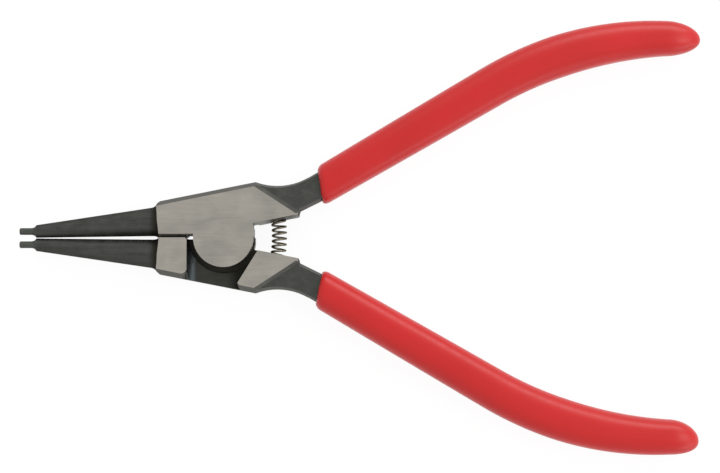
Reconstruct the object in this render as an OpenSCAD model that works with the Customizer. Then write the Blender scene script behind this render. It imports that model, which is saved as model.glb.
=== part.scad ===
// Circlip pliers for external rings: two forged levers in a lap joint, a rivet, a coil spring and two dipped grips.
// Millimetres. +X runs from the joint to the handles, +Y to the upper lever, +Z up from the rest plane.
// The origin is on the joint axis, in the plane that the closed pliers lie on.

/* [Tips] */
// diameter of the turned tip pins
tip_d = 1.8; // [1.2:0.1:2.2]
// length of the straight part of a tip pin
tip_length = 3.1; // [2.5:0.1:5]
// radius of the concave shoulder behind a tip pin
tip_shoulder_r = 1.5; // [1.2:0.1:2]
// distance between the two tip axes when closed
tip_spacing = 3.5; // [3:0.1:4.5]
// distance from the joint axis to the tip ends
tip_reach = 54.1; // [48:0.5:62]
// chamfer on the end of a tip pin
tip_chamfer = 0.2; // [0.1:0.05:0.4]

/* [Jaws] */
// gap between the two jaws just behind the tips
jaw_front_gap = 0.12; // [0.06:0.02:0.4]
// jaw diameter where its cone meets the head
jaw_back_d = 7.8; // [6.5:0.1:8.6]
// gap between the two jaws at the head
jaw_back_gap = 0.9; // [0.4:0.1:1.6]
// radius of the concave shoulder between jaw and head
jaw_fillet_r = 1.8; // [1:0.1:2.4]
// bevel on the head's outer front corner
shoulder_bevel = 0.6; // [0.3:0.1:1.2]
// bevel round the front end of a jaw
jaw_edge = 0.15; // [0.1:0.05:0.3]

/* [Head] */
// thickness of the head over both ground faces
thickness = 10; // [9:0.25:12]
// distance from the joint axis to the jaw shoulder
head_reach = 17.2; // [15:0.1:20]
// distance from the joint axis to the outer edge of a lever
head_half_width = 13.1; // [12.6:0.1:14.5]
// slope of the outer edge to the long axis
flare_angle = 11.2; // [8:0.2:14]
// forging draft of the head's outer walls
draft_angle = 15.6; // [10:0.2:18]
// forging draft of the stop faces, on the side away from the lap
stop_draft = 10.5; // [6:0.5:13]
// gap between the stop faces of the closed jaws
stop_gap = 0.1; // [0.06:0.02:0.2]

/* [Joint] */
// diameter of the joint disc
disc_d = 15.7; // [14:0.1:16.6]
// gap between the two lapped plates
lap_gap = 0.05; // [0.03:0.01:0.1]
// width of the milled ring round the joint disc
ring_width = 1.5; // [1.2:0.1:1.8]
// distance from the milled ring to the side walls of the recess
recess_margin = 0.2; // [0.1:0.05:0.4]
// distance by which a lever's plate stands out past the disc, between the tails
plate_step = 0.3; // [0.05:0.05:0.5]
// step from the milled ring up to the forged floor
floor_step = 0.6; // [0.3:0.1:1.2]
// direction of the normal of the recess's tail side wall
recess_angle = 32; // [26:1:38]
// radius of the fillet along the recess's jaw side wall
recess_fillet_r = 2; // [0.8:0.1:2.4]
// radius of the outer corners beside the recess
recess_corner_r = 1.4; // [0.6:0.1:1.8]
// radius of the jaw block's corner between recess and stop face
stop_corner_r = 0.7; // [0.3:0.1:1]
// width of the relief slot between stop face and disc
relief_d = 0.8; // [0.5:0.1:1.1]
// rivet shank diameter
rivet_d = 5; // [4:0.25:6]
// depth of the countersunk rivet ends
rivet_head_depth = 0.8; // [0.5:0.1:1.4]
// radial running clearance of the rivet in the lower lever
rivet_clearance = 0.04; // [0.02:0.01:0.08]

/* [Tails] */
// gap between the tails, measured on the line through the joint axis
tail_gap = 3.3; // [2.6:0.1:4]
// distance from the joint axis to the tail ends
tail_reach = 19.7; // [19:0.1:20.6]
// forging draft of the tails' inner walls, on the side away from the lap
tail_draft = 6; // [2:0.5:8]
// height of a tail's end face
tail_end_height = 1.2; // [0.8:0.1:1.5]
// lean of a tail's end face from the square of the long axis
tail_end_lean = 14; // [8:1:20]
// length of the tail's end that keeps the full thickness
nub_length = 3; // [2:0.25:4]
// distance by which that end stays inside the tail's corner
nub_inset = 0.3; // [0.2:0.05:0.4]
// distance from the joint axis to the end of the ground face
face_reach = 15.6; // [14.5:0.1:16.4]
// direction of the ground face's end
face_angle = 57; // [50:1:62]
// depth of the bevel that ends the ground face
face_bevel = 1; // [0.6:0.1:1.2]
// angle of that bevel from upright
face_bevel_angle = 42; // [35:1:50]
// length over which the tang root falls from the bevel to the tang
root_fall = 7; // [5:0.5:9]

/* [Handles] */
// slope of the handles to the long axis
handle_angle = 30.2; // [27:0.2:33]
// distance by which the handle centre line passes below the joint axis
handle_offset = 1.05; // [0.5:0.05:1.5]
// width of the tang at the parting line
tang_w = 7.15; // [6.4:0.05:7.5]
// thickness of the tang
tang_t = 6.6; // [6:0.1:7]
// forging draft of the tang and its root
tang_draft = 11; // [8:0.2:14]
// radius of the concave edge from head to tang
root_r = 16.4; // [14:0.2:19]
// angle from the square of the long axis at which the concave edge leaves the outer edge
root_turn = 15; // [12:1:18]
// length of tang between the concave edge and the grip
tang_bare = 1.5; // [1:0.1:2]
// distance along the handle from the joint to the bend
bend_start = 81.4; // [74:0.2:90]
// centre line radius of the bend
bend_r = 93.7; // [80:0.5:110]
// straight length after the bend
handle_end = 7.6; // [6:0.2:12]

/* [Grips] */
// distance along the handle from the joint to the grip's mouth
grip_start = 28.8; // [28:0.2:31]
// angle between the grip's mouth and a square cut
mouth_skew = 21; // [0:1:25]
// grip width at the mouth
grip_mouth_w = 9.8; // [9.6:0.1:10.6]
// greatest grip width
grip_w = 11.2; // [10.6:0.1:12.4]
// grip width where its nose starts
grip_nose_w = 9.3; // [9:0.1:10.4]
// amount by which the grip's mouth is thinner than the head
mouth_relief = 0.4; // [0.2:0.1:0.5]
// length of the rounded nose
nose_length = 8.8; // [7:0.2:11]
// squareness of the grip's section, 2 for an ellipse
grip_power = 2.5; // [2.3:0.1:3.2]
// inset of the rounded lip at the mouth
lip_r = 1.1; // [0.6:0.1:1.2]
// length of the rounded lip
lip_length = 1.8; // [1:0.1:2.4]
// length over which the grip's sections turn square to the handle
skew_run = 15; // [12:1:20]
// part of the grip's length at which it is widest
grip_peak_part = 0.65; // [0.5:0.05:0.75]
// length of solid grip beyond the end of the tang
nose_wall = 6.5; // [6:0.25:8]
// clearance between tang and grip
grip_clearance = 0.02; // [0.01:0.01:0.05]

/* [Spring] */
// outside diameter of the return spring
spring_d = 4.1; // [3.6:0.1:4.5]
// wire diameter
wire_d = 0.56; // [0.44:0.02:0.8]
// gap between the closed turns at the spring's ends
end_gap = 0.06; // [0.04:0.02:0.1]
// number of turns between the pocket floors
spring_turns = 10; // [8:1:11]
// distance from the joint axis to the spring axis
spring_x = 14.6; // [13.6:0.1:15.4]
// lean of the spring's axis out of the lap plane
spring_lean = 16; // [10:1:18]
// turn of the spring about its own axis
spring_turn = 55; // [0:5:90]
// radius to which the spring bows between the tails
spring_bow_r = 36; // [30:1:60]
// depth of the spring's pocket in each tail
spring_pocket = 2.6; // [2:0.1:3]
// radial clearance between spring and pocket
spring_clearance = 0.2; // [0.1:0.05:0.3]

/* [Hidden] */
$fn = 96;
mid = thickness / 2;
over = 1;
seam = 0.02;
land = 0.05;
steel = [0.6, 0.58, 0.55];
bright = [0.72, 0.71, 0.69];
red = [0.78, 0.16, 0.17];

// unit vector at an angle, and the one square to it on its left
function along(a) = [cos(a), sin(a)];
function aside(a) = [-sin(a), cos(a)];

// parting line of the upper lever: outer edge, inner edge of the tail, and stop face
function outer_y(x) = head_half_width + x * tan(flare_angle);
function tail_y(x) = tail_gap / 2 + x * tan(flare_angle);
stop_y = stop_gap / 2;

// jaw cone, from behind the tip's shoulder to the head
tip_r = tip_d / 2;
jaw_front_r = (tip_spacing - jaw_front_gap) / 2;
jaw_back_r = jaw_back_d / 2;
shoulder_h = jaw_front_r - tip_r;
shoulder_length = sqrt(2 * tip_shoulder_r * shoulder_h - pow(shoulder_h, 2));
jaw_front = [-tip_reach + tip_length + shoulder_length, tip_spacing / 2];
jaw_back = [-head_reach, jaw_back_r + jaw_back_gap / 2];
jaw_run = jaw_back - jaw_front;
jaw_angle = atan2(jaw_run[1], jaw_run[0]);
jaw_length = norm(jaw_run);
cone_angle = atan((jaw_back_r - jaw_front_r) / jaw_length);

// front of the head, square to the jaw: its ends at the stop face and at the bevelled outer corner
front_slope = tan(jaw_angle);
front_bottom = -head_reach + (jaw_back[1] - stop_y) * front_slope;
front_top = -head_reach - (outer_y(-head_reach) - jaw_back[1]) * front_slope;
bevel_low = [front_top, outer_y(front_top) - shoulder_bevel];
bevel_high = [front_top + shoulder_bevel, outer_y(front_top + shoulder_bevel)];

// lap joint: disc, milled ring and the walls of the recess
disc_r = disc_d / 2;
ring_r = disc_r + ring_width;
recess_front = ring_r + recess_margin;
recess_back = ring_r + recess_margin;
plate_edge = disc_r + plate_step;

// handle centre line: straight from the joint, then a bend that ends parallel to the long axis
handle_foot = -handle_offset * aside(handle_angle);
bend_from = handle_foot + bend_start * along(handle_angle);
bend_centre = bend_from - bend_r * aside(handle_angle);
bend_length = bend_r * handle_angle * PI / 180;
bend_end = bend_start + bend_length;
handle_length = bend_end + handle_end;
function handle_dir(t) = handle_angle - max(0, min(bend_length, t - bend_start)) / bend_r * 180 / PI;
function handle_point(t) = t < bend_start
    ? handle_foot + t * along(handle_angle)
    : bend_centre + bend_r * aside(handle_dir(t)) + [max(0, t - bend_end), 0];

// tang: its ends, its half section, and the corners of the root that leads to it from the head
tang_edge = tang_w / 2;
tang_half_t = tang_t / 2;
tang_narrow = tang_edge - tang_half_t * tan(tang_draft);
tang_stop = handle_length - nose_wall;
root_end = grip_start - tang_bare;
root_edge = tang_edge + land;
root_centre = handle_point(root_end) + (root_edge + root_r) * aside(handle_angle);
root_corner_x = root_centre[0] - root_r * sin(root_turn);
root_outer = handle_point(root_end) + (root_edge + over) * aside(handle_angle);
root_inner = handle_point(root_end) - root_edge * aside(handle_angle);
tail_tip = [tail_reach, tail_y(tail_reach)];
tail_top = tail_tip + tail_end_height * [tan(tail_end_lean), 1];

// spring's centre line about its middle: bowed between the tails, straight in the pockets
spring_mouth = tail_y(spring_x) / cos(spring_lean);
function bowed(s) = max(-spring_mouth, min(spring_mouth, s));
function bow_dir(s) = bowed(s) / spring_bow_r * 180 / PI;
function bow_point(s) = spring_bow_r * (along(bow_dir(s)) - [1, 0]) + (s - bowed(s)) * aside(bow_dir(s));
module at_spring() {
    translate([spring_x, 0, mid])
        rotate([-spring_lean, 0, 0])
            children();
}

// faces of a tube of rings with equal sides, from ring 0 to ring n - 1
function tube_faces(n, sides) = [
    for (k = [0:n - 2], i = [0:sides - 1], half = [0, 1])
        let (j = (i + 1) % sides, a = k * sides, b = a + sides)
        half == 0 ? [a + i, b + i, b + j] : [a + i, b + j, a + j]
];
function flat(rings) = [for (r = rings) each r];

// solid through a list of rings, flat at both ends
module tube(rings) {
    sides = len(rings[0]);
    last = (len(rings) - 1) * sides;
    polyhedron(
        points = flat(rings),
        faces = concat(
            [[for (i = [0:sides - 1]) i]],
            tube_faces(len(rings), sides),
            [[for (i = [sides - 1:-1:0]) last + i]]
        )
    );
}

// cutter for the draft of a forged wall, front and back, which keeps a narrow upright land at the parting line
// the cutter lies on the left of the wall's direction
module beyond_wall(start, dir, length, draft, back_draft) {
    top = mid + over;
    lean = top * tan(draft);
    back_lean = top * tan(back_draft);
    depth = 3 * over;
    edge = start + land * aside(dir);
    translate([edge[0], edge[1], mid])
        rotate([90, 0, 90 + dir])
            linear_extrude(length)
                polygon([[0, 0], [-lean, top], [depth, top], [depth, -top], [-back_lean, -top]]);
}

// tang: a bar that is widest at the parting line and drafted to both faces, grown by a clearance
bend_steps = 12;
function tang_ring(t, extra) = [
    let (
        upper = [[tang_edge, 0], [tang_narrow, tang_half_t], [-tang_narrow, tang_half_t]],
        grow = 1 + 2 * extra / tang_narrow,
        p = handle_point(t),
        across = aside(handle_dir(t))
    )
    for (q = concat(upper, -upper))
        [p[0] + grow * q[0] * across[0], p[1] + grow * q[0] * across[1], mid + grow * q[1]]
];
module tang_bar(from, to, extra) {
    stations = concat([from], [for (i = [0:bend_steps]) bend_start + bend_length * i / bend_steps], [to]);
    tube([for (t = stations) tang_ring(t, extra)]);
}

// outline of a lever's head, tail and tang root at the parting line, with its concave edge still filled
module head_outline() {
    polygon([
        [front_bottom, stop_y],
        bevel_low,
        bevel_high,
        [root_corner_x, outer_y(root_corner_x)],
        root_outer,
        root_inner,
        tail_top,
        tail_tip,
        [plate_edge, tail_y(plate_edge)],
        [plate_edge, stop_y]
    ]);
}

// tapered round jaw, its concave shoulder cut off at the head's faces and edges
module jaw() {
    hollow_y = jaw_length - jaw_fillet_r;
    hollow = [jaw_front_r + hollow_y * tan(cone_angle) + jaw_fillet_r / cos(cone_angle), hollow_y];
    touch = hollow + jaw_fillet_r * [-cos(cone_angle), sin(cone_angle)];
    root_y = jaw_length + over / 2;
    inset = [0, -seam];
    intersection() {
        translate([jaw_front[0], jaw_front[1], mid])
            rotate([0, 90, jaw_angle])
                rotate_extrude()
                    difference() {
                        polygon([
                            [0, 0],
                            [jaw_front_r - jaw_edge, 0],
                            [jaw_front_r, jaw_edge],
                            touch,
                            hollow,
                            [hollow[0], jaw_length],
                            [jaw_back_r, root_y],
                            [0, root_y]
                        ]);
                        translate(hollow)
                            circle(jaw_fillet_r - seam);
                    }
        linear_extrude(thickness)
            polygon([
                [-tip_reach, stop_y + seam],
                [0, stop_y + seam],
                [0, outer_y(0) - seam],
                bevel_high + inset,
                bevel_low + inset,
                [-tip_reach, bevel_low[1] - seam]
            ]);
    }
}

// tip pin with a chamfered end, flared in a concave shoulder to the jaw
module tip() {
    flare = [jaw_front_r, tip_length];
    behind = flare + [0, shoulder_length];
    translate([-tip_reach, tip_spacing / 2, mid])
        rotate([0, 90, 0])
            rotate_extrude()
                difference() {
                    polygon([
                        [0, 0],
                        [tip_r - tip_chamfer, 0],
                        [tip_r, tip_chamfer],
                        [tip_r, tip_length],
                        flare,
                        behind,
                        behind + [-jaw_edge, 2 * jaw_edge],
                        [0, behind[1] + 2 * jaw_edge]
                    ]);
                    translate([tip_r + tip_shoulder_r, tip_length])
                        circle(tip_shoulder_r - seam / 2);
                }
}

// recess in the lap side of a lever, between the jaw block and the tail block
module recess() {
    wall = recess_back * along(recess_angle);
    run = aside(recess_angle);
    reach = 2 * head_half_width;
    translate([0, 0, -over])
        linear_extrude(mid - floor_step + over)
            polygon([
                [-recess_front, -2 * over],
                wall - ring_r * run,
                wall + reach * run,
                [-recess_front, reach]
            ]);
}

// plan of a cutter that rounds a corner between two edges, given by their directions away from the corner
module corner_plan(u, v, r) {
    half = acos(u * v) / 2;
    reach = r / tan(half);
    inward = (u + v) / norm(u + v);
    centre = r / sin(half) * inward;
    difference() {
        polygon([centre, reach * u - over * inward, -2 * over * inward, reach * v - over * inward]);
        translate(centre)
            circle(r);
    }
}

// cutter over the height of the recess, leaning with a wall's draft
module recess_cutter(at, lean) {
    translate([at[0], at[1], mid])
        rotate([-lean, 0, 0])
            translate([0, 0, -mid - 2 * over])
                linear_extrude(mid - floor_step + 2 * over)
                    children();
}

// rounds the corners of the jaw block and of the tail block beside the recess
module recess_corners() {
    wall = recess_back * along(recess_angle);
    run = aside(recess_angle);
    slope = tan(flare_angle);
    s = (head_half_width + wall[0] * slope - wall[1]) / (run[1] - run[0] * slope);
    recess_cutter([-recess_front, outer_y(-recess_front)], draft_angle)
        corner_plan(-along(flare_angle), [0, -1], recess_corner_r);
    recess_cutter(wall + s * run, draft_angle)
        corner_plan(along(flare_angle), -run, recess_corner_r);
    recess_cutter([-recess_front, stop_y], 0)
        corner_plan([-1, 0], [0, 1], stop_corner_r);
}

// concave fillet between the recess's floor and its jaw side wall
module recess_fillet() {
    r = recess_fillet_r;
    sunk = over / 4;
    translate([-recess_front, -over, mid - floor_step])
        rotate([-90, 0, 0])
            linear_extrude(outer_y(-recess_front) + 2 * over)
                difference() {
                    translate([-sunk, -sunk])
                        square(r + sunk);
                    translate([r, r])
                        circle(r - seam);
                }
}

// everything above the ground face's bevelled end and the falling top of the tang root
module above_root() {
    fall = face_reach + root_fall;
    half_t = tang_half_t + land;
    reach = 3 * head_half_width;
    rotate([90, 0, face_angle])
        translate([0, mid, -reach])
            linear_extrude(2 * reach)
                polygon([
                    [face_reach - over, mid + over],
                    [face_reach, mid],
                    [face_reach + face_bevel * tan(face_bevel_angle), mid - face_bevel],
                    [fall, half_t],
                    [fall + reach, half_t],
                    [fall + reach, mid + over]
                ]);
}

// end of the tail, which keeps the full thickness past the end of the ground face
module tail_nub() {
    back = tail_reach - nub_length;
    linear_extrude(thickness)
        polygon([
            [back, tail_y(back) + land],
            tail_tip + [-land, land],
            tail_top - [nub_inset, nub_inset]
        ]);
}

// cutter for the concave edge between head and tang, with its draft
module root_spool() {
    top = mid + over;
    wide = root_r + top * tan(tang_draft);
    translate([root_centre[0], root_centre[1], mid])
        rotate_extrude()
            polygon([[0, -top], [wide, -top], [root_r, 0], [wide, top], [0, top]]);
}

// the four straight drafted walls: outer edge, stop face, tail and tang root
module beyond_walls() {
    outer_x = -head_reach - 4 * over;
    outer_length = (root_corner_x - outer_x) / cos(flare_angle);
    tail_end = tail_reach + over;
    tail_length = (tail_end - disc_r) / cos(flare_angle);
    root_run = tail_top - root_inner;
    root_dir = atan2(root_run[1], root_run[0]);
    root_start = root_inner - over * along(root_dir);
    stop_length = head_reach - disc_r + 3 * over;
    beyond_wall([outer_x, outer_y(outer_x)], flare_angle, outer_length, draft_angle, draft_angle);
    beyond_wall([-disc_r, stop_y], 180, stop_length, stop_draft, 0);
    beyond_wall([tail_end, tail_y(tail_end)], 180 + flare_angle, tail_length, tail_draft, 0);
    beyond_wall(root_start, root_dir, norm(root_run) + over - 4 * land, tang_draft, tang_draft);
}

// relief slot between the stop faces, from the disc to the jaw block's corner
module relief() {
    r = relief_d / 2;
    reach = recess_front - disc_r;
    translate([-recess_front, 0, -over])
        linear_extrude(thickness + 2 * over) {
            circle(r);
            translate([0, -r])
                square([reach, relief_d]);
        }
}

// rivet shank with countersunk ends, grown by a clearance
module rivet_form(extra) {
    r = rivet_d / 2 + extra;
    head_r = r + rivet_head_depth;
    rotate_extrude()
        polygon([
            [0, 0],
            [head_r, 0],
            [r, rivet_head_depth],
            [r, thickness - rivet_head_depth],
            [head_r, thickness],
            [0, thickness]
        ]);
}

// forged blank of the head with its recess and ground faces, before the drafted walls are cut
module head_blank() {
    difference() {
        linear_extrude(thickness)
            head_outline();
        recess();
        recess_corners();
        above_root();
        translate([0, 0, thickness])
            mirror([0, 0, 1])
                above_root();
    }
    recess_fillet();
    tail_nub();
    jaw();
}

// blind pocket for one end of the spring, drilled along the end's straight axis
module pocket() {
    mouth = bow_point(spring_mouth);
    translate([mouth[0], mouth[1], 0])
        rotate([-90, 0, bow_dir(spring_mouth)])
            translate([0, 0, -spring_mouth / 2])
                cylinder(h = spring_mouth / 2 + spring_pocket, r = spring_d / 2 + spring_clearance);
}

// one lever in the upper place, its lap recess underneath
module lever(bore_extra) {
    difference() {
        union() {
            difference() {
                head_blank();
                beyond_walls();
                root_spool();
            }
            tang_bar(root_end - over, tang_stop, 0);
            tip();
            cylinder(h = thickness, r = disc_r);
        }
        translate([0, 0, -over])
            cylinder(h = mid + lap_gap / 2 + over, r = ring_r);
        at_spring()
            pocket();
        relief();
        rivet_form(bore_extra);
    }
}

// turns a piece over about the long axis, into the lower place
module turned_over() {
    translate([0, 0, thickness])
        rotate([180, 0, 0])
            children();
}

// grip: length, width, depth and skew of its sections at a distance from the mouth
grip_length = handle_length - grip_start;
nose_start = grip_length - nose_length;
grip_peak = grip_peak_part * grip_length;
rise_power = 1.3;
fall_power = 1.6;
function grip_rise(s) = 1 - pow(1 - min(1, s / grip_peak), rise_power);
function grip_fall(s) = pow(max(0, min(1, (s - grip_peak) / (nose_start - grip_peak))), fall_power);
function grip_round(s) = sqrt(max(0, 1 - pow(max(0, s - nose_start) / nose_length, 2)));
function grip_width(s) = grip_mouth_w
    + (grip_w - grip_mouth_w) * grip_rise(s)
    - (grip_w - grip_nose_w) * grip_fall(s);
function grip_depth(s) = thickness
    - mouth_relief * pow(1 - min(1, s / skew_run), 2)
    - (grip_w - grip_nose_w) / 2 * grip_fall(s);
function grip_skew(s) = tan(mouth_skew) * max(0, 1 - s / skew_run);

// point of a unit superellipse
function squared(v, p) = sign(v) * pow(abs(v), 2 / p);
grip_sides = 24;
function grip_ring(s, inset) = [
    for (i = [0:grip_sides - 1])
        let (
            a = 360 * i / grip_sides,
            t = grip_start + s,
            d = (grip_width(s) * grip_round(s) / 2 - inset) * squared(cos(a), grip_power),
            z = (grip_depth(s) * grip_round(s) / 2 - inset) * squared(sin(a), grip_power),
            p = handle_point(t) + d * (aside(handle_dir(t)) + grip_skew(s) * along(handle_dir(t)))
        )
        [p[0], p[1], mid + z]
];

// grip stations: quarter round lip, body, and a nose that closes on a point
lip_steps = 3;
body_steps = 24;
nose_steps = 6;
grip_rings = concat(
    [
        for (i = [0:lip_steps - 1])
            let (a = 90 * i / lip_steps)
            grip_ring(lip_length * (1 - cos(a)), lip_r * (1 - sin(a)))
    ],
    [for (i = [0:body_steps]) grip_ring(lip_length + (nose_start - lip_length) * i / body_steps, 0)],
    [for (i = [1:nose_steps - 1]) grip_ring(nose_start + nose_length * sin(90 * i / nose_steps), 0)]
);

// solid grip: flat mouth, rounded nose
module grip_body() {
    n = len(grip_rings);
    last = (n - 1) * grip_sides;
    end = handle_point(handle_length);
    polyhedron(
        points = concat(flat(grip_rings), [[end[0], end[1], mid]]),
        faces = concat(
            [[for (i = [0:grip_sides - 1]) i]],
            tube_faces(n, grip_sides),
            [for (i = [0:grip_sides - 1]) [last + i, n * grip_sides, last + (i + 1) % grip_sides]]
        )
    );
}

// dipped sleeve that fits the tang
module grip() {
    difference() {
        grip_body();
        tang_bar(root_end, tang_stop + grip_clearance, grip_clearance);
    }
}

// return spring: closed end turns, even pitch between them, wire ends on the pocket floors
wire_sides = 8;
wire_steps = 18;
coil_r = (spring_d - wire_d) / 2;
coil_half = spring_mouth + spring_pocket - seam - wire_d / 2;
end_pitch = wire_d + end_gap;
mid_pitch = (2 * coil_half - 2 * end_pitch) / (spring_turns - 2);
function coil_s(q) = -coil_half
    + end_pitch * min(q, 1)
    + mid_pitch * max(0, min(q, spring_turns - 1) - 1)
    + end_pitch * max(0, q - spring_turns + 1);
function wire_ring(q) = [
    for (i = [0:wire_sides - 1])
        let (
            s = coil_s(q),
            a = 360 * (q - spring_turns / 2) + spring_turn,
            b = 360 * i / wire_sides,
            r = coil_r + wire_d / 2 * cos(b),
            p = bow_point(s) + r * cos(a) * along(bow_dir(s)) + wire_d / 2 * sin(b) * aside(bow_dir(s))
        )
        [p[0], p[1], r * sin(a)]
];
module coil() {
    at_spring()
        mirror([0, 0, 1])
            tube([for (k = [0:spring_turns * wire_steps]) wire_ring(k / wire_steps)]);
}

module upper_lever() {
    color(steel)
        lever(0);
}

module lower_lever() {
    color(steel)
        turned_over()
            lever(rivet_clearance);
}

module joint_rivet() {
    color(steel)
        rivet_form(0);
}

module return_spring() {
    color(bright)
        coil();
}

module upper_grip() {
    color(red)
        grip();
}

module lower_grip() {
    color(red)
        turned_over()
            grip();
}

upper_lever();
lower_lever();
joint_rivet();
return_spring();
upper_grip();
lower_grip();
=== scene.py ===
import math

import bpy
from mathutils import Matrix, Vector, noise


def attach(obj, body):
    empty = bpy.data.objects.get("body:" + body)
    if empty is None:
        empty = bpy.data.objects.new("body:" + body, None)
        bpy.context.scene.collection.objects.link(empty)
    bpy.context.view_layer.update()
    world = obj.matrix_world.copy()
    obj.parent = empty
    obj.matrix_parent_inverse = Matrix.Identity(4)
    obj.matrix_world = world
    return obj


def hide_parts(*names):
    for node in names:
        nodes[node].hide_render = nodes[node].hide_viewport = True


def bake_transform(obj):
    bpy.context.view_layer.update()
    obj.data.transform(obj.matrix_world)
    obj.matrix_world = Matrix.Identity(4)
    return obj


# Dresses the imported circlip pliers: finishes by place on the CAD levers and rivet, smooth grips and spring in place of
# the CAD ones, a white studio and the photo's camera. Sizes are in millimetres, as in the part's source. The
# spring's wire, the slant of its turns, the grips' fit and their dip are the scene's own.

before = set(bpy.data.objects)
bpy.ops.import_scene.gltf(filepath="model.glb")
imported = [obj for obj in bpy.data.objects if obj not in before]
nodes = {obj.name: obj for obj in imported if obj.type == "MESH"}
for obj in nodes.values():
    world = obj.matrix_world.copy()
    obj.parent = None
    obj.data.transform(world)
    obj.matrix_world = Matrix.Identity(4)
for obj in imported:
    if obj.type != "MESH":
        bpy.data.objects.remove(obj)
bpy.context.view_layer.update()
scene = bpy.context.scene
MM = 0.001
MID = 5.0           # height of the lap plane
HEIGHT = 2.0 * MID  # thickness of the head and the grips

# ---------------------------------------------------------------- handle line
HANDLE_ANGLE = math.radians(30.2)
HANDLE_OFFSET = 1.05
BEND_START = 81.4
BEND_R = 93.7
HANDLE_END = 7.6
TANG_W = 7.15
TANG_T = 6.6
DRAFT = math.radians(11.0)


def along(a):
    return Vector((math.cos(a), math.sin(a)))


def aside(a):
    return Vector((-math.sin(a), math.cos(a)))


FOOT = -HANDLE_OFFSET * aside(HANDLE_ANGLE)
BEND_CENTRE = FOOT + BEND_START * along(HANDLE_ANGLE) - BEND_R * aside(HANDLE_ANGLE)
BEND_LENGTH = BEND_R * HANDLE_ANGLE
BEND_END = BEND_START + BEND_LENGTH
HANDLE_LENGTH = BEND_END + HANDLE_END


def handle_dir(t):
    """Direction of the handle's centre line at length t."""
    return HANDLE_ANGLE - max(0.0, min(BEND_LENGTH, t - BEND_START)) / BEND_R


def handle_point(t):
    """Point of the handle's centre line: straight, bent, then straight again along X."""
    if t < BEND_START:
        return FOOT + t * along(HANDLE_ANGLE)
    return BEND_CENTRE + BEND_R * aside(handle_dir(t)) + Vector((max(0.0, t - BEND_END), 0.0))


# ---------------------------------------------------------------- small helpers
def srgb(r, g, b):
    """Linear colour from screen levels of 0 to 255."""
    def lin(v):
        v /= 255.0
        return v / 12.92 if v <= 0.04045 else ((v + 0.055) / 1.055) ** 2.4
    return (lin(r), lin(g), lin(b), 1.0)


def mesh_object(name, verts, faces, smooth=True):
    mesh = bpy.data.meshes.new(name)
    mesh.from_pydata([tuple(v) for v in verts], [], faces)
    mesh.validate()
    if smooth:
        mesh.polygons.foreach_set("use_smooth", [True] * len(mesh.polygons))
    mesh.update()
    obj = bpy.data.objects.new(name, mesh)
    scene.collection.objects.link(obj)
    return obj


def ring_faces(count, sides):
    """Quads between rings of points that follow each other."""
    faces = []
    for k in range(count - 1):
        a, b = k * sides, (k + 1) * sides
        for i in range(sides):
            j = (i + 1) % sides
            faces.append((a + i, b + i, b + j, a + j))
    return faces


class Nodes:
    """Short hand for building a material's node tree."""

    MIX_FACTOR, MIX_A, MIX_B = 0, 6, 7  # inputs of a mix node for colours
    MIX_OUT = 2                         # its output

    def __init__(self, name):
        self.material = bpy.data.materials.new(name)
        self.material.use_nodes = True
        self.tree = self.material.node_tree
        self.bsdf = self.tree.nodes["Principled BSDF"]

    def add(self, kind, values=None, **settings):
        node = self.tree.nodes.new(kind)
        for key, value in settings.items():
            setattr(node, key, value)
        for key, value in (values or {}).items():
            node.inputs[key].default_value = value
        return node

    def link(self, a, out, b, into):
        self.tree.links.new(a.outputs[out], b.inputs[into])

    def set(self, **values):
        for key, value in values.items():
            self.bsdf.inputs[key.replace("_", " ")].default_value = value

    def coords(self, scale, turn=0.0, shift=0.0):
        """Object coordinates, scaled, turned about Z and shifted along X."""
        where = self.add("ShaderNodeTexCoord")
        mapping = self.add("ShaderNodeMapping", {"Scale": scale, "Rotation": (0.0, 0.0, turn),
                                                 "Location": (shift, 0.0, 0.0)})
        self.link(where, "Object", mapping, "Vector")
        return mapping

    def noise(self, mapping, detail=3.0, rough=0.6, distortion=0.0):
        node = self.add("ShaderNodeTexNoise", {"Scale": 1.0, "Detail": detail, "Roughness": rough,
                                               "Distortion": distortion})
        self.link(mapping, "Vector", node, "Vector")
        return node

    def ramp(self, source, low, high, start=0.3, end=0.7):
        node = self.add("ShaderNodeValToRGB")
        for element, place, colour in zip(node.color_ramp.elements, (start, end), (low, high)):
            element.position = place
            element.color = colour
        self.link(source, "Fac", node, "Fac")
        return node

    def remap(self, source, low, high, start=0.3, end=0.7):
        node = self.add("ShaderNodeMapRange", {"From Min": start, "From Max": end, "To Min": low, "To Max": high})
        self.link(source, "Fac", node, "Value")
        return node

    def mix(self, a, a_out, b, factor):
        """Colour a mixed with colour b by a number, or by a remap node."""
        node = self.add("ShaderNodeMix", data_type="RGBA")
        if isinstance(factor, float):
            node.inputs[self.MIX_FACTOR].default_value = factor
        else:
            self.link(factor, "Result", node, self.MIX_FACTOR)
        self.link(a, a_out, node, self.MIX_A)
        self.link(b, "Color", node, self.MIX_B)
        return node

    def bump(self, source, strength, distance, edge=0.0):
        """Bump from a noise, over edges rounded by the given radius."""
        node = self.add("ShaderNodeBump", {"Strength": strength, "Distance": distance})
        self.link(source, "Fac", node, "Height")
        if edge:
            bevel = self.add("ShaderNodeBevel", {"Radius": edge}, samples=6)
            self.link(bevel, "Normal", node, "Normal")
        self.link(node, "Normal", self.bsdf, "Normal")


# ---------------------------------------------------------------- materials
EDGE_ROUND = 0.0002  # metres, on forged edges


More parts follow.
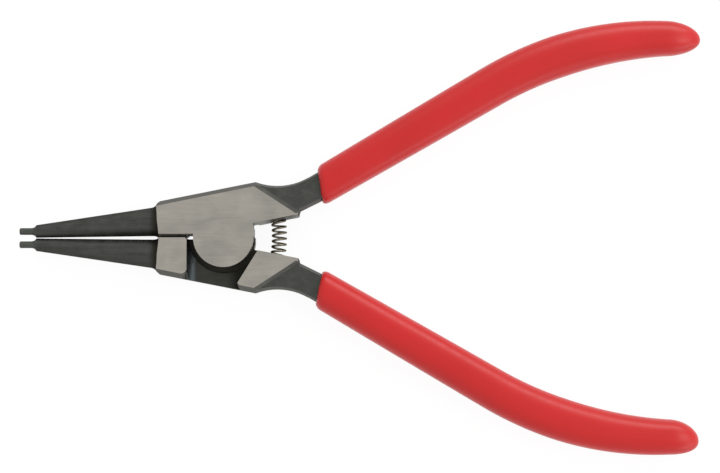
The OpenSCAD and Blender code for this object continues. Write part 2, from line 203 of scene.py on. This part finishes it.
def ground_steel():
    """Face ground on a belt: fine grain along X, faint clouds, warm grey."""
    m = Nodes("ground_steel")
    grain = m.noise(m.coords((90.0, 3200.0, 400.0), turn=0.10), detail=4.0, rough=0.65)
    cross = m.noise(m.coords((160.0, 1100.0, 300.0), turn=-0.35))
    cloud = m.noise(m.coords((110.0, 150.0, 110.0)), rough=0.55, distortion=0.4)
    fine = m.ramp(grain, srgb(135, 131, 124), srgb(165, 161, 152), start=0.25, end=0.75)
    lines = m.ramp(cross, srgb(142, 138, 130), srgb(159, 155, 148))
    broad = m.ramp(cloud, srgb(130, 129, 124), srgb(174, 167, 156))
    lined = m.mix(fine, "Color", lines, 0.4)
    colour = m.mix(lined, m.MIX_OUT, broad, 0.45)
    m.link(colour, m.MIX_OUT, m.bsdf, "Base Color")
    m.link(m.remap(grain, 0.30, 0.46), "Result", m.bsdf, "Roughness")
    m.set(Metallic=1.0)
    m.bump(grain, 0.22, 0.00003)
    return m.material


def forged_steel(name, dark, light, grain, rough=(0.45, 0.6), metal=0.8, rim=0.3, turn=0.0, painted_shade=None):
    """Forged and phosphated steel: charcoal with fine streaks and a slight mottle, dull at grazing angles.

    A painted shade is (x, half width, colour), with lengths in metres: painted shade across the wall at that x,
    fading out over the half width.
    """
    m = Nodes(name)
    low, high = srgb(*dark), srgb(*light)
    streak = m.noise(m.coords(grain, turn), detail=4.0)
    mottle = m.noise(m.coords((420.0, 420.0, 420.0)), rough=0.55)
    fine = m.ramp(streak, low, high, start=0.28, end=0.72)
    broad = m.ramp(mottle, low, high)
    colour = m.mix(fine, "Color", broad, 0.4)
    # Painted shade: the given dark colour mixed in round x, strongest near x and gone at the half width.
    if painted_shade:
        x, half, shade_tone = painted_shade
        shade_fall = m.add("ShaderNodeTexGradient", gradient_type="SPHERICAL")
        m.link(m.coords((1.0 / half, 0.0, 0.0), shift=-x / half), "Vector", shade_fall, "Vector")
        shade_node = m.add("ShaderNodeRGB")
        shade_node.outputs["Color"].default_value = srgb(*shade_tone)
        colour = m.mix(colour, m.MIX_OUT, shade_node, m.remap(shade_fall, 0.0, 0.9, start=0.0, end=0.5))
    m.link(colour, m.MIX_OUT, m.bsdf, "Base Color")
    m.link(m.remap(mottle, *rough), "Result", m.bsdf, "Roughness")
    m.set(Metallic=metal, Specular_Tint=(rim, rim, rim, 1.0), Specular_IOR_Level=0.3)
    m.bump(mottle, 0.3, 0.00006, EDGE_ROUND)
    return m.material


def grip_vinyl():
    """Dipped vinyl: satin red with a faint orange peel."""
    m = Nodes("grip_vinyl")
    cloud = m.noise(m.coords((60.0, 60.0, 60.0)), detail=2.0, rough=0.5)
    peel = m.noise(m.coords((900.0, 900.0, 900.0)), detail=2.0, rough=0.5)
    m.link(m.ramp(cloud, srgb(197, 11, 10), srgb(204, 16, 14)), "Color", m.bsdf, "Base Color")
    m.link(m.remap(peel, 0.36, 0.44), "Result", m.bsdf, "Roughness")
    m.set(Metallic=0.0, IOR=1.5, Sheen_Weight=0.16, Sheen_Roughness=0.4)
    m.bump(peel, 0.06, 0.00004)
    return m.material


def spring_steel():
    """Drawn spring wire: dark bright-drawn steel with fine draw lines."""
    m = Nodes("spring_steel")
    draw = m.noise(m.coords((900.0, 2600.0, 900.0)))
    m.link(m.ramp(draw, srgb(98, 94, 82), srgb(148, 142, 126)), "Color", m.bsdf, "Base Color")
    m.link(m.remap(draw, 0.26, 0.40), "Result", m.bsdf, "Roughness")
    m.set(Metallic=1.0, Specular_Tint=(0.25, 0.24, 0.22, 1.0))
    m.bump(draw, 0.1, 0.00002)
    return m.material


ROOT_SHADE = (-0.0168, 0.0029, (46, 44, 38))    # painted shade in the concave shoulder at the root of the jaws
SPRING_POCKET_SHADE = (0.0152, 0.0052, (52, 51, 46))   # painted shade round the spring's pocket
RECESS_SHADOW = (0.0058, 0.0050, (32, 31, 26))   # painted shadow of the tail block, on the recess floor along the tail

GROUND = ground_steel()
DRAFT_STEEL = forged_steel("drafted_wall", (88, 87, 83), (110, 109, 104), (90.0, 1500.0, 700.0), metal=0.55)
JAW_STEEL = forged_steel("jaw_steel", (54, 55, 52), (83, 84, 80), (22.0, 850.0, 850.0), (0.46, 0.6),
                         painted_shade=ROOT_SHADE)
TANG_STEEL = forged_steel("tang_steel", (60, 61, 58), (80, 81, 77), (500.0, 900.0, 500.0), (0.48, 0.62), turn=0.5)
LAP_STEEL = forged_steel("lap_steel", (40, 39, 34), (60, 58, 51), (90.0, 900.0, 500.0), (0.5, 0.65))
FLOOR_STEEL = forged_steel("recess_floor", (52, 53, 49), (68, 69, 64), (90.0, 900.0, 500.0), (0.42, 0.55),
                           painted_shade=RECESS_SHADOW)
# Concave fillet of the recess: its own satin steel, plus a painted highlight in its lighter, bluish colour.
FILLET_HIGHLIGHT_STEEL = forged_steel("recess_fillet", (64, 68, 70), (84, 89, 91), (900.0, 90.0, 500.0), (0.42, 0.55),
                            metal=0.9, rim=0.4)
STOP_STEEL = forged_steel("stop_face", (138, 136, 128), (164, 161, 152), (90.0, 1200.0, 600.0), (0.4, 0.55),
                          metal=0.4, rim=0.6)
TIP_STEEL = forged_steel("tip_steel", (70, 72, 68), (90, 93, 88), (300.0, 900.0, 500.0), metal=0.5)
BEVEL_STEEL = forged_steel("face_bevel", (78, 78, 74), (98, 97, 93), (300.0, 900.0, 500.0), (0.4, 0.55),
                           metal=0.6, rim=0.4)
TAIL_STEEL = forged_steel("tail_wall", (140, 138, 130), (166, 163, 154), (90.0, 1200.0, 600.0), (0.4, 0.55),
                          metal=0.4, rim=0.6, painted_shade=SPRING_POCKET_SHADE)
VINYL = grip_vinyl()
WIRE = spring_steel()

# ---------------------------------------------------------------- levers: finishes by place
LEVER_MATERIALS = [GROUND, DRAFT_STEEL, JAW_STEEL, TANG_STEEL, LAP_STEEL, FLOOR_STEEL, FILLET_HIGHLIGHT_STEEL,
                   STOP_STEEL, TIP_STEEL, BEVEL_STEEL, TAIL_STEEL]
FACE_SKIN = 0.01            # depth within which a flat face is a ground one
HEAD_FRONT = -16.7          # the jaw lies before it
SHOULDER_BACK = -17.6       # the head's shoulder reaches from here to its front
TIP_BACK = -49.5            # the turned tip lies before it
JAW_SIDE = 10.5
RIM_R = 9.6                 # disc's rim in the gap between the tails
RIM_X = 6.0
RING_R = 9.4                # milled ring and what turns in it
RING_TOP = 6.0
FACE_ANGLE = math.radians(57.0)
FACE_END = 15.55            # the ground face ends here, along its angle
BEVEL_END = 16.6
RECESS_FRONT = -9.7
FILLET_BACK = -7.5
FILLET_SIDE = 1.0
FILLET_LOW, FILLET_HIGH = 2.3, 4.39
FLOOR_FRONT = -9.6
FLOOR_LOW, FLOOR_HIGH = 3.0, 5.0
WALL_TOP = 4.5
WALL_SIDE = 0.2
HEAD_SIDE, HEAD_TAPER = 11.3, 0.198
STOP_BACK = -7.0
TAIL_FRONT = 8.0


def lever_finish(centre, normal, turned):
    """Finish at a point of a lever. The rules are the upper lever's, so a point of the lower one is turned over."""
    x, y, z = centre / MM
    n = normal.copy()
    if turned:
        y, z = -y, HEIGHT - z
        n.y, n.z = -n.y, -n.z
    radius = math.hypot(x, y)
    end = Vector((x, y)).dot(along(FACE_ANGLE))
    level = abs(n.z)
    flat = level > 0.98
    wall = level < 0.5
    upright = level < 0.3
    inward = n.y < -0.7
    if flat and (z < FACE_SKIN or z > HEIGHT - FACE_SKIN):
        return GROUND
    if x < HEAD_FRONT and y < JAW_SIDE:
        if x < TIP_BACK:
            return TIP_STEEL
        return DRAFT_STEEL if x > SHOULDER_BACK and n.y > 0.4 else JAW_STEEL
    if radius < RIM_R and x > RIM_X and n.x > 0.6 and wall:
        return TAIL_STEEL
    if radius < RING_R and z < RING_TOP and n.z < 0.3:
        return LAP_STEEL
    if end > FACE_END:
        if end < BEVEL_END and 0.5 < level < 0.9:
            return BEVEL_STEEL
        return DRAFT_STEEL if abs(n.y) > 0.3 and wall else TANG_STEEL
    if RECESS_FRONT < x < FILLET_BACK and FILLET_LOW < z < FILLET_HIGH and n.z < -0.05 and y > FILLET_SIDE:
        return FILLET_HIGHLIGHT_STEEL
    if x > FLOOR_FRONT and FLOOR_LOW < z < FLOOR_HIGH and n.z < -0.3:
        return FLOOR_STEEL
    inside = x > RECESS_FRONT and WALL_SIDE < y < HEAD_SIDE + x * HEAD_TAPER
    if inside and z < WALL_TOP and upright and n.y > -0.9:
        return LAP_STEEL
    if inward and x < STOP_BACK:
        return STOP_STEEL
    if inward and x > TAIL_FRONT:
        return TAIL_STEEL
    return DRAFT_STEEL


def finish_lever(name, turned):
    mesh = nodes[name].data
    mesh.materials.clear()
    for material in LEVER_MATERIALS:
        mesh.materials.append(material)
    for polygon in mesh.polygons:
        polygon.material_index = LEVER_MATERIALS.index(lever_finish(polygon.center, polygon.normal, turned))


finish_lever("upper_lever", False)
finish_lever("lower_lever", True)
rivet = nodes["joint_rivet"]
rivet.data.materials.clear()
rivet.data.materials.append(GROUND)

# ---------------------------------------------------------------- grips
GRIP_START = 28.8
MOUTH_W, GRIP_W, NOSE_W = 9.8, 11.2, 9.3
MOUTH_RELIEF = 0.4
NOSE_LENGTH = 8.8
POWER = 2.5                 # of the superellipse
LIP, LIP_LENGTH = 1.1, 1.8
GRIP_LENGTH = HANDLE_LENGTH - GRIP_START
NOSE_START = GRIP_LENGTH - NOSE_LENGTH
PEAK_SHARE = 0.65           # widest place, as a share of the length
PEAK = PEAK_SHARE * GRIP_LENGTH
RISE_POWER, FALL_POWER = 1.3, 1.6
SKEW_RUN = 15.0
WAVE, WAVE_RUN, WAVE_TURN = 0.22, 6.0, 1.7  # uneven edge of the mouth
NOSE_WALL = 6.5
TANG_STOP = HANDLE_LENGTH - NOSE_WALL
TANG_FIT = 0.05
BORE_START, BORE_MOUTH = 1.2, 0.45
SIDES = 96
BORE_STEPS, LIP_STEPS, BODY_STEPS, NOSE_STEPS = 24, 8, 90, 20


def grip_fall(s):
    return max(0.0, min(1.0, (s - PEAK) / (NOSE_START - PEAK))) ** FALL_POWER


def grip_width(s):
    rise = 1.0 - (1.0 - min(1.0, max(0.0, s) / PEAK)) ** RISE_POWER
    return MOUTH_W + (GRIP_W - MOUTH_W) * rise - (GRIP_W - NOSE_W) * grip_fall(s)


def grip_depth(s):
    relief = MOUTH_RELIEF * (1.0 - min(1.0, max(0.0, s) / SKEW_RUN)) ** 2
    return HEIGHT - relief - (GRIP_W - NOSE_W) / 2 * grip_fall(s)


def section(a):
    """Point of the unit superellipse in direction a."""
    c, s = math.cos(a), math.sin(a)
    r = (abs(c) ** POWER + abs(s) ** POWER) ** (-1.0 / POWER)
    return r * c, r * s


def grip_place(t, s, d, z, dip):
    """Point of a grip section. The dip leaves each mouth and nose a little different."""
    mouth_angle, mouth_shift, bias = dip
    fade = max(0.0, 1.0 - max(0.0, s) / SKEW_RUN)
    skew = math.tan(math.radians(mouth_angle)) * fade
    t += mouth_shift * fade
    a = handle_dir(t)
    drop = (max(0.0, s - NOSE_START) / NOSE_LENGTH) ** 2
    p = handle_point(t) + d * (aside(a) + skew * along(a)) + drop * (bias[0] * aside(a) + bias[1] * along(a))
    return Vector((p.x, p.y, MID + z))


def grip_outer_ring(s, inset, seed, dip):
    rounding = math.sqrt(max(0.0, 1.0 - (max(0.0, s - NOSE_START) / NOSE_LENGTH) ** 2))
    ring = []
    for i in range(SIDES):
        a = 2.0 * math.pi * i / SIDES
        wave = 0.0
        if s < WAVE_RUN:
            place = (WAVE_TURN * math.cos(a), WAVE_TURN * math.sin(a), seed)
            wave = WAVE * (1.0 - s / WAVE_RUN) * noise.noise(place)
        across, up = section(a)
        d = (grip_width(s) * rounding / 2.0 - inset) * across
        z = (grip_depth(s) * rounding / 2.0 - inset) * up
        ring.append(grip_place(GRIP_START + s + wave, s, d, z, dip))
    return ring


def tang_outline(a):
    """Point of the tang's six-sided section in direction a, grown by the fit."""
    edge, half = TANG_W / 2.0 + TANG_FIT, TANG_T / 2.0 + TANG_FIT
    narrow = edge - half * math.tan(DRAFT)
    corners = [(edge, 0.0), (narrow, half), (-narrow, half), (-edge, 0.0), (-narrow, -half), (narrow, -half)]
    dx, dz = math.cos(a), math.sin(a)
    best = None
    for (x0, z0), (x1, z1) in zip(corners, corners[1:] + corners[:1]):
        ex, ez = x1 - x0, z1 - z0
        det = dx * -ez + dz * ex
        if abs(det) < 1e-9:
            continue
        r = (x0 * -ez + z0 * ex) / det
        u = (dx * z0 - dz * x0) / det
        if r > 0 and -1e-6 <= u <= 1.0 + 1e-6 and (best is None or r < best):
            best = r
    return best * dx, best * dz


def grip_inner_ring(s, dip):
    ring = []
    for i in range(SIDES):
        d, z = tang_outline(2.0 * math.pi * i / SIDES)
        ring.append(grip_place(GRIP_START + s, s, d, z, dip))
    return ring


def make_grip(name, turned, seed, dip):
    """Closed sleeve: up the bore from the tang's end, round the lip, along the body and round the nose."""
    bore = TANG_STOP - GRIP_START - BORE_START
    rings = [grip_inner_ring(BORE_START + bore * k / BORE_STEPS, dip) for k in range(BORE_STEPS, -1, -1)]
    rings.append(grip_inner_ring(BORE_MOUTH, dip))
    for k in range(LIP_STEPS):
        a = math.pi / 2.0 * k / LIP_STEPS
        rings.append(grip_outer_ring(LIP_LENGTH * (1.0 - math.cos(a)), LIP * (1.0 - math.sin(a)), seed, dip))
    for k in range(BODY_STEPS + 1):
        rings.append(grip_outer_ring(LIP_LENGTH + (NOSE_START - LIP_LENGTH) * k / BODY_STEPS, 0.0, seed, dip))
    for k in range(1, NOSE_STEPS):
        a = math.pi / 2.0 * k / NOSE_STEPS
        rings.append(grip_outer_ring(NOSE_START + NOSE_LENGTH * math.sin(a), 0.0, seed, dip))
    verts = [v for ring in rings for v in ring]
    faces = ring_faces(len(rings), SIDES)
    bore_end, nose_end = len(verts), len(verts) + 1
    end = handle_point(TANG_STOP)
    verts.append(Vector((end.x, end.y, MID)))
    verts.append(grip_place(HANDLE_LENGTH, GRIP_LENGTH, 0.0, 0.0, dip))
    last = (len(rings) - 1) * SIDES
    for i in range(SIDES):
        j = (i + 1) % SIDES
        faces.append((bore_end, i, j))
        faces.append((last + i, nose_end, last + j))
    if turned:
        verts = [Vector((v.x, -v.y, HEIGHT - v.z)) for v in verts]
    grip = mesh_object(name, [v * MM for v in verts], faces)
    grip.data.materials.append(VINYL)
    return grip


# Each dip: angle of the mouth in degrees, shift of the mouth, and pull of the nose aside and along.
upper_grip = make_grip("upper_grip_sleeve", False, 3.1, (21.0, 0.0, (-0.4, 0.75)))
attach(upper_grip, "upper")
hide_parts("upper_grip")
lower_grip = make_grip("lower_grip_sleeve", True, 7.7, (18.3, -0.35, (1.0, -0.55)))
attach(lower_grip, "lower")
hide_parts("lower_grip")

# ---------------------------------------------------------------- return spring
SPRING_X = 14.6
SPRING_D, WIRE_D, TURNS = 4.1, 0.58, 10
LEAN = math.radians(16.0)
SPRING_TURN = math.radians(55.0)
BOW_R = 36.0
POCKET = 2.6
SEAT_GAP = 0.02
TAIL_GAP, TAIL_ANGLE = 3.3, math.radians(11.2)
COIL_R = (SPRING_D - WIRE_D) / 2.0
SPRING_MOUTH = (TAIL_GAP / 2.0 + SPRING_X * math.tan(TAIL_ANGLE)) / math.cos(LEAN)
COIL_HALF = SPRING_MOUTH + POCKET - SEAT_GAP - WIRE_D / 2.0
END_GAP = 0.06
END_PITCH = WIRE_D + END_GAP
MID_PITCH = (2.0 * COIL_HALF - 2.0 * END_PITCH) / (TURNS - 2)
COIL_SLANT = 0.44           # the free turns lie square to the tails, not to the bowed axis
SLANT_START, SLANT_RUN = 0.5, 1.5
WIRE_SIDES, TURN_STEPS = 14, 44


def coil_s(q):
    """Place along the axis after q turns: closed end turns, open ones between."""
    return (-COIL_HALF + END_PITCH * min(q, 1.0) + MID_PITCH * max(0.0, min(q, TURNS - 1.0) - 1.0)
            + END_PITCH * max(0.0, q - TURNS + 1.0))


def spring_point(s, out, up, shift):
    """Point beside the spring's centre line: bowed between the tails, straight in the pockets, leaning about X."""
    bowed = max(-SPRING_MOUTH, min(SPRING_MOUTH, s))
    a = bowed / BOW_R
    p = BOW_R * (along(a) - Vector((1.0, 0.0))) + out * along(a) + (s - bowed + shift) * aside(a)
    return Vector((SPRING_X + p.x, p.y * math.cos(LEAN) + up * math.sin(LEAN),
                   MID - p.y * math.sin(LEAN) + up * math.cos(LEAN)))


def make_spring():
    count = TURNS * TURN_STEPS
    verts = []
    for k in range(count + 1):
        q = k / TURN_STEPS
        a = 2.0 * math.pi * (q - TURNS / 2.0) + SPRING_TURN
        free = max(0.0, min(1.0, (q - SLANT_START) / SLANT_RUN, (TURNS - q - SLANT_START) / SLANT_RUN))
        lie = free * COIL_SLANT * math.sin(a)
        for i in range(WIRE_SIDES):
            b = 2.0 * math.pi * i / WIRE_SIDES
            r = COIL_R + WIRE_D / 2.0 * math.cos(b)
            shift = WIRE_D / 2.0 * math.sin(b) + lie
            verts.append(spring_point(coil_s(q), r * math.cos(a), -r * math.sin(a), shift) * MM)
    faces = [face[::-1] for face in ring_faces(count + 1, WIRE_SIDES)]
    faces.append(tuple(range(WIRE_SIDES)))
    faces.append(tuple(count * WIRE_SIDES + i for i in range(WIRE_SIDES - 1, -1, -1)))
    wire = mesh_object("return_spring_wire", verts, faces)
    wire.data.materials.append(WIRE)
    return wire


spring = make_spring()
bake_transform(spring)
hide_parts("return_spring")

# ---------------------------------------------------------------- floor, light and camera
WHITE = (1.0, 1.0, 1.0, 1.0)
FLOOR_HALF = 1.2            # metres, as in the rest of this section up to the camera
FLOOR_Z = -0.00005
FLOOR_GLOW, FLOOR_SHARE = 1.05, 0.88
SKY, SKY_SEEN = 0.62, 1.0


def white_when_seen(tree, shade, white, share):
    """Mixes a shader with a white one for camera, glossy and transmitted rays."""
    path = tree.nodes.new("ShaderNodeLightPath")
    seen = path.outputs["Is Camera Ray"]
    for operation, value in (("MAXIMUM", path.outputs["Is Glossy Ray"]),
                             ("MAXIMUM", path.outputs["Is Transmission Ray"]), ("MULTIPLY", None)):
        step = tree.nodes.new("ShaderNodeMath")
        step.operation = operation
        step.inputs[1].default_value = share
        tree.links.new(seen, step.inputs[0])
        if value is not None:
            tree.links.new(value, step.inputs[1])
        seen = step.outputs[0]
    mix = tree.nodes.new("ShaderNodeMixShader")
    tree.links.new(seen, mix.inputs[0])
    tree.links.new(shade.outputs[0], mix.inputs[1])
    tree.links.new(white.outputs[0], mix.inputs[2])
    return mix


def make_floor():
    corners = [(x * FLOOR_HALF, y * FLOOR_HALF, FLOOR_Z) for x, y in ((-1, -1), (1, -1), (1, 1), (-1, 1))]
    floor = mesh_object("studio_floor", corners, [(0, 1, 2, 3)], smooth=False)
    m = Nodes("studio_white")
    m.set(Base_Color=(0.9, 0.9, 0.9, 1.0), Roughness=0.8)
    glow = m.add("ShaderNodeEmission", {"Color": WHITE, "Strength": FLOOR_GLOW})
    mix = white_when_seen(m.tree, m.bsdf, glow, FLOOR_SHARE)
    m.tree.links.new(mix.outputs[0], m.tree.nodes["Material Output"].inputs["Surface"])
    floor.data.materials.append(m.material)


def make_world():
    world = bpy.data.worlds.new("studio")
    world.use_nodes = True
    scene.world = world
    tree = world.node_tree
    sky, seen = tree.nodes["Background"], tree.nodes.new("ShaderNodeBackground")
    for background, strength in ((sky, SKY), (seen, SKY_SEEN)):
        background.inputs["Color"].default_value = WHITE
        background.inputs["Strength"].default_value = strength
    mixed = white_when_seen(tree, sky, seen, 1.0)
    tree.links.new(mixed.outputs[0], tree.nodes["World Output"].inputs["Surface"])


def area_lamp(name, place, target, size, power):
    light = bpy.data.lights.new(name, "AREA")
    light.shape = "RECTANGLE"
    light.size, light.size_y = size
    light.energy = power
    lamp = bpy.data.objects.new(name, light)
    lamp.location = place
    lamp.rotation_euler = (Vector(target) - Vector(place)).to_track_quat("-Z", "Y").to_euler()
    scene.collection.objects.link(lamp)


make_floor()
make_world()
area_lamp("right_softbox", (0.80, 0.0, 0.80), (0.1, 0.0, 0.0), (0.32, 0.32), 1.7)
area_lamp("top_softbox", (0.42, 0.88, 0.62), (0.05, 0.0, 0.0), (1.1, 0.45), 5.8)
area_lamp("bottom_softbox", (0.9, -0.65, 0.34), (0.08, 0.0, 0.0), (0.9, 0.4), 2.2)

PHOTO_WIDTH = 720.0                             # pixels
PHOTO_CENTRE = Vector((360.0, 236.5))
JOINT_PIXEL = Vector((224.4, 237.55))           # the joint's axis in the photo
SCALE = 0.2647                                  # millimetres in a pixel
DISTANCE = 510.0
TILT = math.radians(2.2)
ROLL = math.radians(-0.1)
SENSOR = 36.0
AIM = (PHOTO_CENTRE - JOINT_PIXEL) * SCALE
TARGET = Vector((AIM.x, -AIM.y, MID))
camera_data = bpy.data.cameras.new("camera")
camera_data.sensor_width = SENSOR
camera_data.lens = SENSOR * DISTANCE / (PHOTO_WIDTH * SCALE)
camera_data.clip_start = 0.01
camera = bpy.data.objects.new("camera", camera_data)
camera.location = (TARGET + DISTANCE * Vector((0.0, -math.sin(TILT), math.cos(TILT)))) * MM
camera.rotation_euler = (TILT, 0.0, ROLL)
scene.collection.objects.link(camera)
scene.camera = camera

scene.view_settings.view_transform = "Standard"
